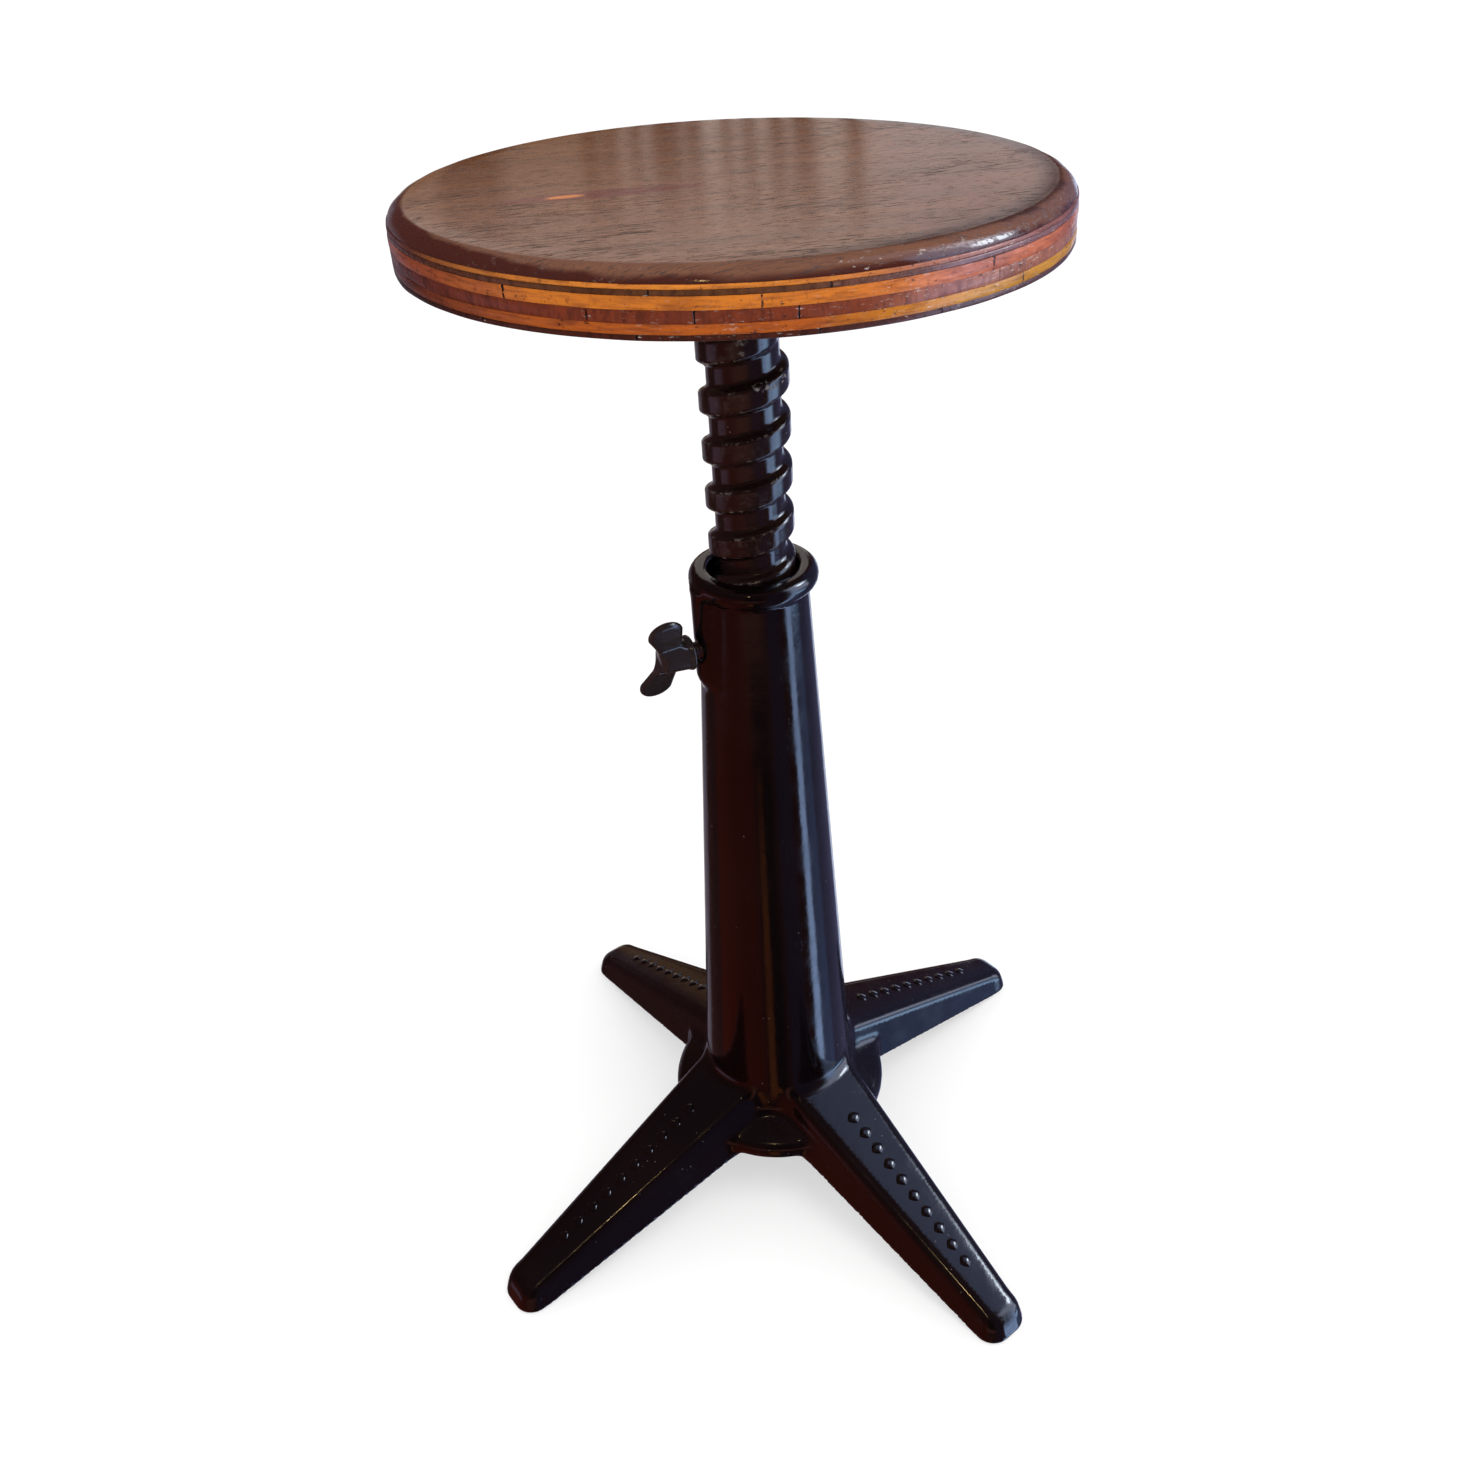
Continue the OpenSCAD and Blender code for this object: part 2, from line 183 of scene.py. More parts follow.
def crossed_cells(value):
    """The grid's cells that the surface passes through, and the mean place where it crosses their edges."""
    shifts = np.array(list(itertools.product((0, 1), repeat=3)))
    inside = value < 0
    corners = [tuple(slice(s, s + n - 1) for s, n in zip(shift, value.shape)) for shift in shifts]
    count = sum(inside[c].astype(np.int8) for c in corners)
    cells = np.argwhere((count > 0) & (count < 8))
    values = [value[tuple((cells + shift).T)] for shift in shifts]
    total, crossings = np.zeros((len(cells), 3)), np.zeros(len(cells))
    for a, b in itertools.combinations(range(8), 2):
        if np.abs(shifts[a] - shifts[b]).sum() == 1:
            crosses = (values[a] < 0) != (values[b] < 0)
            gap = np.where(crosses, values[a] - values[b], 1)
            share = np.where(crosses, values[a] / gap, 0)[:, None]
            total += crosses[:, None] * (shifts[a] + share * (shifts[b] - shifts[a]))
            crossings += crosses
    return cells, total / crossings[:, None]


def net_quads(inside, index):
    """A quad round each edge of the grid whose two ends lie on different sides of the surface."""
    quads = []
    for axis in range(3):
        u, v = [a for a in range(3) if a != axis]
        span = [slice(1, n) for n in index.shape]
        span[axis] = slice(0, index.shape[axis])
        here = inside[tuple(span)]
        span[axis] = slice(1, index.shape[axis] + 1)
        there = inside[tuple(span)]
        edges = np.argwhere(here != there)
        forward = (there if axis == 1 else here)[tuple(edges.T)]
        base = edges + np.array([0 if a == axis else 1 for a in range(3)])
        ring = []
        for du, dv in ((1, 1), (0, 1), (0, 0), (1, 0)):
            back = base.copy()
            back[:, u] -= du
            back[:, v] -= dv
            ring.append(index[tuple(back.T)])
        ring = np.stack(ring, 1)
        ring[~forward] = ring[~forward][:, ::-1]
        quads.append(ring)
    return np.concatenate(quads)


def moved_onto(field, points, reach):
    """The points moved onto the surface where field is zero, and its normals there."""
    eps = 0.05
    for _ in range(5):
        gradient = np.stack([
            (field(*(points + d).T) - field(*(points - d).T)) / (2 * eps) for d in np.eye(3) * eps
        ], 1)
        length = np.maximum((gradient**2).sum(1), 0.05)
        move = -(field(*points.T) / length)[:, None] * gradient
        points = points + np.clip(move, -reach, reach)
    return points, gradient / np.maximum(np.linalg.norm(gradient, axis=1), 1e-6)[:, None]


def surface_net(field, low, high, step):
    """(points, quads, normals) of the surface where field is zero."""
    axes = [np.arange(a, b + step, step) for a, b in zip(low, high)]
    value = field(*np.meshgrid(*axes, indexing="ij"))
    cells, middles = crossed_cells(value)
    index = np.full([n - 1 for n in value.shape], -1)
    index[tuple(cells.T)] = np.arange(len(cells))
    points, normals = moved_onto(field, np.array(low) + (cells + middles) * step, step / 2)
    return points, net_quads(value < 0, index), normals


def fineness(step):
    return step * 1


# ---- meshes ----


def new_piece(name, points, faces, material, normals=None, sharp_deg=None):
    """A mesh object from points in millimetres, smooth shaded."""
    mesh = bpy.data.meshes.new(name)
    mesh.from_pydata((np.asarray(points, float) * MM).tolist(), [], [list(map(int, f)) for f in faces])
    mesh.validate()
    mesh.polygons.foreach_set("use_smooth", [True] * len(mesh.polygons))
    if normals is not None:
        mesh.normals_split_custom_set_from_vertices(normals.tolist())
    if sharp_deg:
        mesh.set_sharp_from_angle(angle=math.radians(sharp_deg))
    mesh.materials.append(material)
    piece = bpy.data.objects.new(name, mesh)
    bpy.context.scene.collection.objects.link(piece)
    return piece


def ring_grid(rows, columns):
    """Quads between rows of points round an axis, and the two end caps."""
    faces = []
    for i in range(rows - 1):
        for j in range(columns):
            k = (j + 1) % columns
            faces.append([i * columns + j, i * columns + k, (i + 1) * columns + k, (i + 1) * columns + j])
    faces.append(list(range(columns))[::-1])
    faces.append([(rows - 1) * columns + j for j in range(columns)])
    return faces


def revolved(name, radii, heights, material, columns=96, sharp_deg=35):
    """A turned solid about Z whose radius is a number, or an array round the axis, at each height."""
    turn = np.arange(columns) * 2 * math.pi / columns
    rows = []
    for radius, height in zip(radii, heights):
        rows.append(np.stack([radius * np.cos(turn), radius * np.sin(turn), np.full(columns, height)], 1))
    return new_piece(name, np.concatenate(rows), ring_grid(len(rows), columns), material, sharp_deg=sharp_deg)


def ridge(offset, core, crest, root_half, crest_half, soften):
    """Radius of a thread's profile at a height from the middle of its ridge."""
    line = (root_half - np.abs(offset)) * (crest - core) / (root_half - crest_half)
    return core + smooth_min(smooth_max(line, 0, soften), crest - core, soften)


def threaded(name, low, high, lead, start, profile, material, columns, step, fade=None):
    """A threaded rod about Z: profile gives the radius at a height from the nearest ridge's middle."""
    heights = np.arange(low, high + step / 2, step)
    turn = np.arange(columns) / columns
    z, a = np.meshgrid(heights, turn, indexing="ij")
    turns = (z - start) / lead - a
    nearest = np.round(turns)
    radius = profile((turns - nearest) * lead)
    if fade:
        radius = fade(radius, nearest + a)
    points = np.stack([radius * np.cos(a * 2 * math.pi), radius * np.sin(a * 2 * math.pi), z], -1)
    faces = ring_grid(len(heights), columns)
    return new_piece(name, points.reshape(-1, 3), faces, material, sharp_deg=50)


def seat_radius(z, low, high):
    """Radius of the seat's outline at a height between its two faces."""
    up = np.maximum(z - (high - SEAT_ROUND), 0)
    down = np.maximum(low + SEAT_EASE - z, 0)
    top = SEAT_ROUND - np.sqrt(np.maximum(SEAT_ROUND**2 - up**2, 0))
    bottom = SEAT_EASE - np.sqrt(np.maximum(SEAT_EASE**2 - down**2, 0))
    return SEAT_R - top - bottom


# ---- materials ----


class Nodes:
    """A node tree, with short helpers for the kinds used here. A value is a number, a tuple or a socket."""

    def __init__(self, tree):
        self.tree = tree

    def link(self, source, target):
        if hasattr(source, "links"):
            self.tree.links.new(source, target)
        else:
            target.default_value = source

    def node(self, kind, values):
        made = self.tree.nodes.new(kind)
        for key, value in values.items():
            self.link(value, made.inputs[key])
        return made

    def math(self, operation, a, b=0.0, c=0.0):
        made = self.node("ShaderNodeMath", {0: a, 1: b, 2: c})
        made.operation = operation
        return made.outputs[0]

    def ramp(self, value, low, high, out_low=0.0, out_high=1.0):
        values = {"Value": value, "From Min": low, "From Max": high, "To Min": out_low, "To Max": out_high}
        made = self.node("ShaderNodeMapRange", values)
        made.interpolation_type = "SMOOTHSTEP"
        return made.outputs["Result"]

    def mix(self, share, a, b, kind="MIX"):
        made = self.node("ShaderNodeMix", {"Factor": share})
        made.data_type = "RGBA"
        made.blend_type = kind
        for value, socket in ((a, made.inputs[6]), (b, made.inputs[7])):
            self.link((*value, 1.0) if isinstance(value, tuple) else value, socket)
        return made.outputs[2]


class Shader(Nodes):
    """A material whose patterns lie in the object's own coordinates."""

    def __init__(self, name):
        self.material = bpy.data.materials.new(name)
        self.material.use_nodes = True
        super().__init__(self.material.node_tree)
        self.bsdf = self.tree.nodes["Principled BSDF"]
        self.coords = self.tree.nodes.new("ShaderNodeTexCoord").outputs["Object"]

    def scaled(self, x, y, z, turn=0.0, shift=(0, 0, 0)):
        """The coordinates from a shifted centre, turned about Z and then stretched."""
        made = self.tree.nodes.new("ShaderNodeMapping")
        made.vector_type = "TEXTURE"
        made.inputs["Location"].default_value = shift
        made.inputs["Scale"].default_value = (1 / x, 1 / y, 1 / z)
        made.inputs["Rotation"].default_value = (0, 0, math.radians(turn))
        self.link(self.coords, made.inputs["Vector"])
        return made.outputs["Vector"]

    def joined(self, x, y, z=0.0):
        return self.node("ShaderNodeCombineXYZ", {0: x, 1: y, 2: z}).outputs[0]

    def axes(self):
        return self.node("ShaderNodeSeparateXYZ", {0: self.coords}).outputs

    def size(self, vector):
        made = self.node("ShaderNodeVectorMath", {0: vector})
        made.operation = "LENGTH"
        return made.outputs["Value"]

    def oval(self, at, half, turn):
        """Distance from a point in the seat's top, where 1 is the edge of an oval along the grain."""
        scale = [1 / (h * MM) for h in half]
        return self.size(self.scaled(*scale, 0.01, turn, (at[0] * MM, at[1] * MM, 0)))

    def noise(self, vector, scale, detail=3.0, rough=0.5, distort=0.0):
        values = {"Vector": vector, "Scale": scale, "Detail": detail, "Roughness": rough}
        values["Distortion"] = distort
        return self.node("ShaderNodeTexNoise", values).outputs["Fac"]

    def cells(self, vector, scale, feature="F1", dimensions="3D"):
        made = self.tree.nodes.new("ShaderNodeTexVoronoi")
        made.voronoi_dimensions = dimensions
        made.feature = feature
        self.link(vector, made.inputs["W" if dimensions == "1D" else "Vector"])
        self.link(scale, made.inputs["Scale"])
        return made.outputs["Distance"]

    def bump(self, height, strength, distance):
        values = {"Height": height, "Strength": strength, "Distance": distance}
        return self.node("ShaderNodeBump", values).outputs["Normal"]

    def finish(self, colour, rough, normal, **fixed):
        self.link(colour, self.bsdf.inputs["Base Color"])
        self.link(rough, self.bsdf.inputs["Roughness"])
        self.link(normal, self.bsdf.inputs["Normal"])
        for name, value in fixed.items():
            self.bsdf.inputs[name.replace("_", " ")].default_value = value
        return self.material


def black_enamel(name, low, high, gloss=(0.09, 0.2), worn=False):
    """Thick glossy black enamel over a casting: soft waves, fine pits and a few specks of dust.

    A worn one shows dull grey metal where the mesh's wear attribute says so.
    """
    s = Shader(name)
    waves = s.noise(s.coords, 38, 2)
    peel = s.noise(s.coords, 330, 2)
    pits = s.ramp(s.cells(s.coords, 420), 0.0, 0.22)
    pit_here = s.ramp(s.noise(s.coords, 95, 3), 0.56, 0.66)
    pit = s.math("MULTIPLY", s.math("SUBTRACT", 1.0, pits), pit_here)
    height = s.math("ADD", s.math("MULTIPLY", waves, 0.7), s.math("MULTIPLY", peel, 0.12))
    height = s.math("SUBTRACT", height, s.math("MULTIPLY", pit, 0.35))
    specks = s.ramp(s.cells(s.coords, 150), 0.075, 0.045)
    specks = s.math("MULTIPLY", specks, s.ramp(s.noise(s.coords, 23, 2), 0.5, 0.62))
    colour = s.mix(s.ramp(s.noise(s.coords, 9, 4), 0.35, 0.7), low, high)
    colour = s.mix(s.math("MULTIPLY", specks, 0.55), colour, (0.16, 0.14, 0.12))
    rough = s.ramp(s.noise(s.coords, 60, 4), 0.3, 0.75, *gloss)
    rough = s.math("ADD", rough, s.math("MULTIPLY", specks, 0.4))
    if worn:
        scuffs = s.ramp(s.noise(s.coords, 210, 5, 0.7), 0.5, 0.62)
        attribute = s.node("ShaderNodeAttribute", {})
        attribute.attribute_name = "wear"
        wear = s.math("MULTIPLY", attribute.outputs["Fac"], scuffs)
        colour = s.mix(wear, colour, (0.19, 0.155, 0.14))
        rough = s.math("ADD", rough, s.math("MULTIPLY", wear, 0.35))
        height = s.math("SUBTRACT", height, s.math("MULTIPLY", wear, 0.25))
    normal = s.bump(height, 0.55, 0.0009)
    return s.finish(colour, rough, normal, IOR=1.5, Coat_Weight=0.25, Coat_Roughness=0.05)


def bare_metal(name, tone, rough, metallic=1.0, lines=0.0):
    """Turned or cast bare metal: a mottled tone, with fine marks of the tool or the sand."""
    s = Shader(name)
    mottle = s.noise(s.coords, 130, 5, 0.6)
    marks = s.noise(s.scaled(1, 1, 1 + lines), 600, 3)
    dark = tuple(c * 0.55 for c in tone)
    colour = s.mix(s.ramp(mottle, 0.3, 0.7), dark, tone)
    roughness = s.ramp(mottle, 0.3, 0.7, rough + 0.15, rough)
    return s.finish(colour, roughness, s.bump(marks, 0.25, 0.0004), Metallic=metallic)


def top_pores(s):
    """Open pores of the seat's veneer, from 0 to 1, in drifts along the grain."""
    pores = s.ramp(s.noise(s.scaled(1, 15, 8, GRAIN_TURN), 74, 3, 0.6), 0.575, 0.625)
    pores = s.math("MULTIPLY", pores, s.ramp(s.noise(s.scaled(1, 2.5, 1, GRAIN_TURN), 15, 3), 0.42, 0.58))
    dashes = s.ramp(s.noise(s.scaled(1, 8, 8, GRAIN_TURN), 140, 2, 0.5), 0.615, 0.665)
    return s.math("MAXIMUM", pores, s.math("MULTIPLY", dashes, 0.8))


def with_repair(s, colour, figure, fine):
    """Lays the repair over the veneer: a slim red lens along the grain with an orange knot in it."""
    lens = s.oval(REPAIR_AT, REPAIR_HALF, GRAIN_TURN)
    patch = s.ramp(s.math("ADD", lens, s.math("MULTIPLY", figure, 0.5)), 1.38, 1.12)
    colour = s.mix(s.math("MULTIPLY", patch, 0.85), colour, (0.105, 0.014, 0.011))
    knot = s.oval(KNOT_AT, KNOT_HALF, GRAIN_TURN)
    knot = s.ramp(s.math("ADD", knot, s.math("MULTIPLY", fine, 0.6)), 1.3, 0.9)
    return s.mix(knot, colour, (0.5, 0.15, 0.025))


def with_rim(s, colour, x, ragged):
    """Lays the rim over the veneer: greyed, a painted dark reflection on the right, then dark red and wider on
    the left.
    """
    wider = s.math("MULTIPLY", s.ramp(x, -0.02, -0.13), 0.006)
    rim = s.ramp(s.math("ADD", ragged, wider), 0.1603, 0.1626)
    greyed = s.ramp(ragged, 0.152, 0.1565)
    # shade is a painted dark reflection: a dark band on the right of the top, just inside the rim
    shade = s.math("MULTIPLY", s.ramp(ragged, 0.14, 0.152), s.ramp(x, 0.0, 0.09))
    shade = s.math("MULTIPLY", shade, s.ramp(ragged, 0.1575, 0.1545))
    colour = s.mix(s.math("MULTIPLY", greyed, 0.45), colour, (0.16, 0.085, 0.065))
    colour = s.mix(s.math("MULTIPLY", shade, 0.75), colour, (0.02, 0.007, 0.006))
    return s.mix(s.math("MULTIPLY", rim, 0.92), colour, (0.045, 0.009, 0.007))


def rim_scuffs(s, x, ragged):
    """Pale scuffs on the rim, from 0 to 1, most of them on the right."""
    scuffs = s.ramp(s.noise(s.scaled(1, 1, 2), 240, 4, 0.7), 0.6, 0.66)
    scuffs = s.math("MULTIPLY", scuffs, s.ramp(ragged, 0.156, 0.16))
    scuffs = s.math("MULTIPLY", scuffs, s.ramp(s.noise(s.coords, 17, 2), 0.46, 0.6))
    return s.math("MULTIPLY", scuffs, s.ramp(x, 0.0, 0.08, 0.12, 1.0))


def seat_top():
    """Dark red-brown varnished veneer: slanting grain, open pores, a red repair, a worn dark rim and a painted
    dark reflection.
    """
    s = Shader("seat_varnish")
    figure = s.noise(s.scaled(1, 7, 3, GRAIN_TURN), 8, 5, 0.6, 0.4)
    streaks = s.noise(s.scaled(1, 18, 6, GRAIN_TURN), 30, 5, 0.65, 0.1)
    fine = s.noise(s.scaled(1, 16, 8, GRAIN_TURN), 190, 3, 0.6)
    pores = top_pores(s)
    colour = s.mix(s.ramp(figure, 0.3, 0.72), (0.12, 0.042, 0.017), (0.17, 0.062, 0.025))
    colour = s.mix(s.ramp(streaks, 0.45, 0.72, 0.0, 0.5), colour, (0.045, 0.015, 0.009))
    colour = s.mix(s.ramp(fine, 0.48, 0.72, 0.0, 0.45), colour, (0.03, 0.01, 0.007))
    colour = s.mix(s.math("MULTIPLY", pores, 0.92), colour, (0.006, 0.003, 0.003))
    colour = with_repair(s, colour, figure, fine)
    x, y, _ = s.axes()
    ragged = s.math("ADD", s.size(s.joined(x, y)), s.math("MULTIPLY", figure, 0.007))
    colour = with_rim(s, colour, x, ragged)
    scuffs = rim_scuffs(s, x, ragged)
    colour = s.mix(s.math("MULTIPLY", scuffs, 0.7), colour, (0.42, 0.36, 0.33))
    rough = s.ramp(s.noise(s.scaled(1, 4, 1, GRAIN_TURN), 40, 4), 0.3, 0.7, 0.075, 0.12)
    rough = s.math("ADD", rough, s.math("MULTIPLY", s.math("ADD", pores, scuffs), 0.3))
    height = s.math("ADD", s.math("MULTIPLY", streaks, 0.12), s.math("MULTIPLY", fine, 0.06))
    height = s.math("SUBTRACT", height, s.math("MULTIPLY", pores, 0.35))
    return s.finish(colour, rough, s.bump(height, 0.3, 0.0006), IOR=1.46)


def seat_underside():
    """The dull, lightly varnished veneer under the seat, with straight grain and a few stains."""
    s = Shader("underside_veneer")
    figure = s.noise(s.scaled(1, 8, 1, -60), 10, 4, 0.6, 0.3)
    fine = s.noise(s.scaled(1, 18, 1, -60), 130, 4, 0.65)
    pores = s.ramp(s.noise(s.scaled(1, 12, 1, -60), 90, 2, 0.5), 0.6, 0.66)
    stains = s.ramp(s.noise(s.coords, 14, 4, 0.6), 0.5, 0.7)
    colour = s.mix(s.ramp(figure, 0.3, 0.72), (0.075, 0.028, 0.015), (0.13, 0.055, 0.028))
    colour = s.mix(s.ramp(fine, 0.45, 0.75, 0.0, 0.5), colour, (0.03, 0.011, 0.008))
    colour = s.mix(s.math("MULTIPLY", stains, 0.45), colour, (0.022, 0.009, 0.007))
    colour = s.mix(s.math("MULTIPLY", pores, 0.8), colour, (0.01, 0.005, 0.004))
    height = s.math("SUBTRACT", s.math("MULTIPLY", fine, 0.3), s.math("MULTIPLY", pores, 0.5))
    return s.finish(colour, s.ramp(fine, 0.3, 0.7, 0.38, 0.55), s.bump(height, 0.4, 0.0006), IOR=1.46)


def edge_tone(s, angle, blotch, front, left, right):
    """A ply's colour by angle from the front: painted shade to the left, painted light and sheen to the right,
    back again behind.
    """
    leaning = s.math("ADD", angle, s.math("MULTIPLY", s.math("SUBTRACT", blotch, 0.5), 0.7))
    # left is the front colour darkened as painted shade; right is the front colour with painted light and sheen
    tone = s.mix(s.ramp(leaning, -0.2, -0.95), front, left)
    tone = s.mix(s.ramp(leaning, 0.2, 0.9), tone, right)
    return s.mix(s.ramp(s.math("ABSOLUTE", angle), 2.0, 2.8), tone, front)


def edge_splits(s, arc, fine, along, splits):
    """Splits across the ply, where only some of the joints have opened: (gaps, the ground close to them)."""
    edge = s.cells(arc, splits, "DISTANCE_TO_EDGE", "1D")
    near = s.math("ADD", edge, s.math("MULTIPLY", s.math("SUBTRACT", fine, 0.5), 0.03))
    first, last = (0.5, 0.56) if along else (0.44, 0.5)
    opened = s.ramp(s.noise(s.joined(arc, 0.0), splits * 0.7, 1), first, last)
    wide = 0.0011 * splits / 2
    gaps = s.math("MULTIPLY", s.ramp(near, wide, wide * 0.45), opened)
    return gaps, s.math("MULTIPLY", s.ramp(near, wide * 4, wide * 1.6), opened)


def edge_dust(s, angle, grit, rims):
    """Pale dust in the cracks, more of it on the right and beside the splits."""
    dusty = s.ramp(grit, 0.59, 0.66)
    patches = s.ramp(s.noise(s.coords, 23, 2), 0.5, 0.62, 0.0, 0.4)
    patches = s.math("MULTIPLY", patches, s.ramp(angle, -0.4, 0.1))
    spread = s.math("ADD", s.ramp(angle, 0.0, 0.9, 0.0, 0.6), patches)
    return s.math("MINIMUM", s.math("MULTIPLY", dusty, s.math("ADD", spread, rims)), 0.75)


def ply_edge(name, front, left, right, along, splits, seed):
    """A varnished ply's edge, which shows long grain if along is true and end grain if not."""
    s = Shader(name)
    x, y, z = s.axes()
    apart = seed * 1.37  # metres between the patterns of two plies
    angle = s.math("ARCTAN2", x, s.math("MULTIPLY", y, -1.0))
    arc = s.math("ADD", s.math("MULTIPLY", angle, SEAT_R * MM), apart)
    shifted = s.math("ADD", x, apart)

    def around(stretch):
        return s.joined(shifted, y, s.math("MULTIPLY", z, stretch))

    blotch = s.noise(around(2.0), 26, 3)
    # The tone carries painted shade on the left and painted light and sheen on the right
    tone = edge_tone(s, angle, blotch, front, left, right)
    grain = s.noise(around(9.0 if along else 0.35), 90 if along else 330, 5, 0.65)
    fine = s.noise(around(0.8), 520, 4, 0.65)
    dark = s.mix(1.0, tone, (0.34, 0.24, 0.2), "MULTIPLY")
    colour = s.mix(s.ramp(grain, 0.38, 0.72, 0.0, 0.65), tone, dark)
    colour = s.mix(s.ramp(blotch, 0.5, 0.75, 0.0, 0.5), colour, dark)
    colour = s.mix(s.ramp(fine, 0.56, 0.7, 0.0, 0.55), colour, dark)
    gaps, rims = edge_splits(s, arc, fine, along, splits)
    gaps = s.math("MULTIPLY", gaps, s.ramp(s.noise(around(1.0), 60, 2), 0.4, 0.5, 0.35, 1.0))
    chips = s.ramp(s.noise(around(1.5), 150 + 13 * seed, 4, 0.75), 0.64, 0.69)
    colour = s.mix(s.math("MULTIPLY", chips, 0.8), colour, (0.012, 0.006, 0.005))
    dust = edge_dust(s, angle, s.noise(around(5.0), 210, 5, 0.75), rims)
    colour = s.mix(dust, colour, (0.52, 0.45, 0.42))
    colour = s.mix(gaps, colour, (0.008, 0.004, 0.003))
    rough = s.ramp(grain, 0.3, 0.7, 0.18, 0.32)
    height = s.math("ADD", s.math("MULTIPLY", grain, 0.35), s.math("MULTIPLY", fine, 0.15))
    height = s.math("SUBTRACT", height, s.math("MULTIPLY", gaps, 1.5))
    height = s.math("SUBTRACT", height, s.math("MULTIPLY", chips, 0.8))
    return s.finish(colour, rough, s.bump(height, 0.55, 0.0008), IOR=1.46)


# ---- pieces ----


def place(piece, body, slot, *stands_for):
    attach(piece, body)
    if stands_for:
        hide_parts(*stands_for)
    return piece


def make_pedestal(enamel):
    reach = LEG_TIP_X / math.sqrt(2) + TIP_R + 4
    low, high = (-reach, -reach, -4), (reach, reach, COLLAR_TOP + 4)
    net = surface_net(pedestal_field, low, high, fineness(CAST_STEP))
    casting = new_piece("pedestal_casting", net[0], net[1], enamel, net[2])
    legs = [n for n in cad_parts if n.startswith("leg_")]
    return place(casting, "pedestal", "black_enamel", "column", "hub", *legs)


def lozenge(direction, along, wide):
    """Points of a lozenge at a distance along a leg, in rings from its sunk foot to its crown."""
    points = []
    fall = (ROOT_TOP - TIP_H) / (LEG_TIP_X + TIP_TOP_R - LEG_START)
    for share, height in MARK_RINGS:
        for k in range(MARK_SIDES):
            t = 2 * math.pi * k / MARK_SIDES
            squeeze = (abs(math.cos(t)) ** MARK_POWER + abs(math.sin(t)) ** MARK_POWER) ** (-1 / MARK_POWER)
            u = along + MARK_HALF * share * squeeze * math.cos(t)
            v = wide * share * squeeze * math.sin(t)
            x = u * math.cos(direction) - v * math.sin(direction)
            y = u * math.sin(direction) + v * math.cos(direction)
            points.append((x, y, ROOT_TOP - fall * (u - LEG_START) + height))
    return points


def make_leg_marks(enamel):
    """A row of plain raised lozenges cast on top of each leg."""
    points, faces = [], []
    for quarter in range(4):
        for n in range(MARKS):
            faces += [[len(points) + i for i in f] for f in ring_grid(len(MARK_RINGS), MARK_SIDES)]
            direction = math.radians(45 + 90 * quarter)
            points += lozenge(direction, MARK_FROM + MARK_PITCH * n, MARK_WIDE - MARK_NARROWING * n)
    return place(new_piece("leg_marks", points, faces, enamel), "pedestal", "black_enamel")


def thread_wear(x, y, z):
    """How far the enamel is gone at points of the thread: rubbed along the crests, and off at one chip."""
    rubbed = np.clip(1 - np.abs(np.hypot(x, y) - THREAD_R + 0.45) / 0.5, 0, 1) * CREST_WEAR
    angle = np.degrees(np.arctan2(y, x))
    above = (z - RIDGE_Z - LEAD * angle / 360) % LEAD
    chipped = (np.abs(angle - CHIP_AZ) < CHIP_HALF) & (np.abs(z - CHIP_Z) < LEAD / 2)
    chipped &= (above > CHIP_LOW) & (above < CHIP_HIGH)
    return np.maximum(rubbed, chipped * CHIP_WEAR)


def make_spindle(enamel):
    low, high = (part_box("spindle")[i].z / MM for i in (0, 1))

    def fade(radius, turn):
        share = np.clip(np.minimum(turn - FIRST_TURN, LAST_TURN - turn) * 360 / FADE_DEG, 0, 1)
        return CORE_R + (radius - CORE_R) * share

    def profile(offset):
        return ridge(offset, CORE_R, THREAD_R, ROOT_W_HALF, CREST_HALF, THREAD_SOFT)

    step = fineness(THREAD_STEP)
    screw = threaded("spindle_screw", low, high, LEAD, RIDGE_Z, profile, enamel, 80, step, fade)
    places = np.array([v.co / MM for v in screw.data.vertices])
    wear = screw.data.attributes.new("wear", "FLOAT", "POINT")
    wear.data.foreach_set("value", thread_wear(*places.T))
    return place(screw, "seat", "black_enamel", "spindle")


def clamp_frame(lean):
    """Turns a piece that points along X at the origin so that it lies along the clamp screw."""
    turn = Matrix.Rotation(math.radians(CLAMP_AZ), 4, "Z") @ Matrix.Rotation(math.radians(-lean), 4, "X")
    return Matrix.Translation((0, 0, CLAMP_Z * MM)) @ turn


def make_wing_screw(enamel, steel):
    reach = WING_H + LOBE_R + 2
    low, high = (WING_X - 2, -12, -reach), (WING_X + 33, 12, reach)
    net = surface_net(wing_screw_field, low, high, fineness(WING_STEP))
    head = new_piece("wing_screw_head", net[0], net[1], enamel, net[2])
    head.data.transform(clamp_frame(WING_LEAN))
    place(head, "clamp_screw", "black_enamel", "wing_screw")

    def profile(offset):
        return ridge(offset, SHANK_R - SHANK_DEPTH, SHANK_R, 0.62, 0.12, 0.25)

    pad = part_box("pressure_pad")
    inner = math.hypot(*(0.5 * (pad[0] + pad[1]) / MM).to_2d()) + 3.6
    outer = WING_X + 1
    shank = threaded("wing_screw_shank", inner, outer, SHANK_PITCH, inner, profile, steel, 40, SHANK_STEP)
    shank.data.transform(clamp_frame(0) @ Matrix.Rotation(math.radians(90), 4, "Y"))
    return place(shank, "clamp_screw", "black_enamel")


def worn_drop(rho):
    """How far the seat's top lies below its middle at a distance from the axis."""
    return WORN_DROP * np.clip((rho - WORN_FROM) / (SEAT_R - SEAT_ROUND - WORN_FROM), 0, 1) ** 2


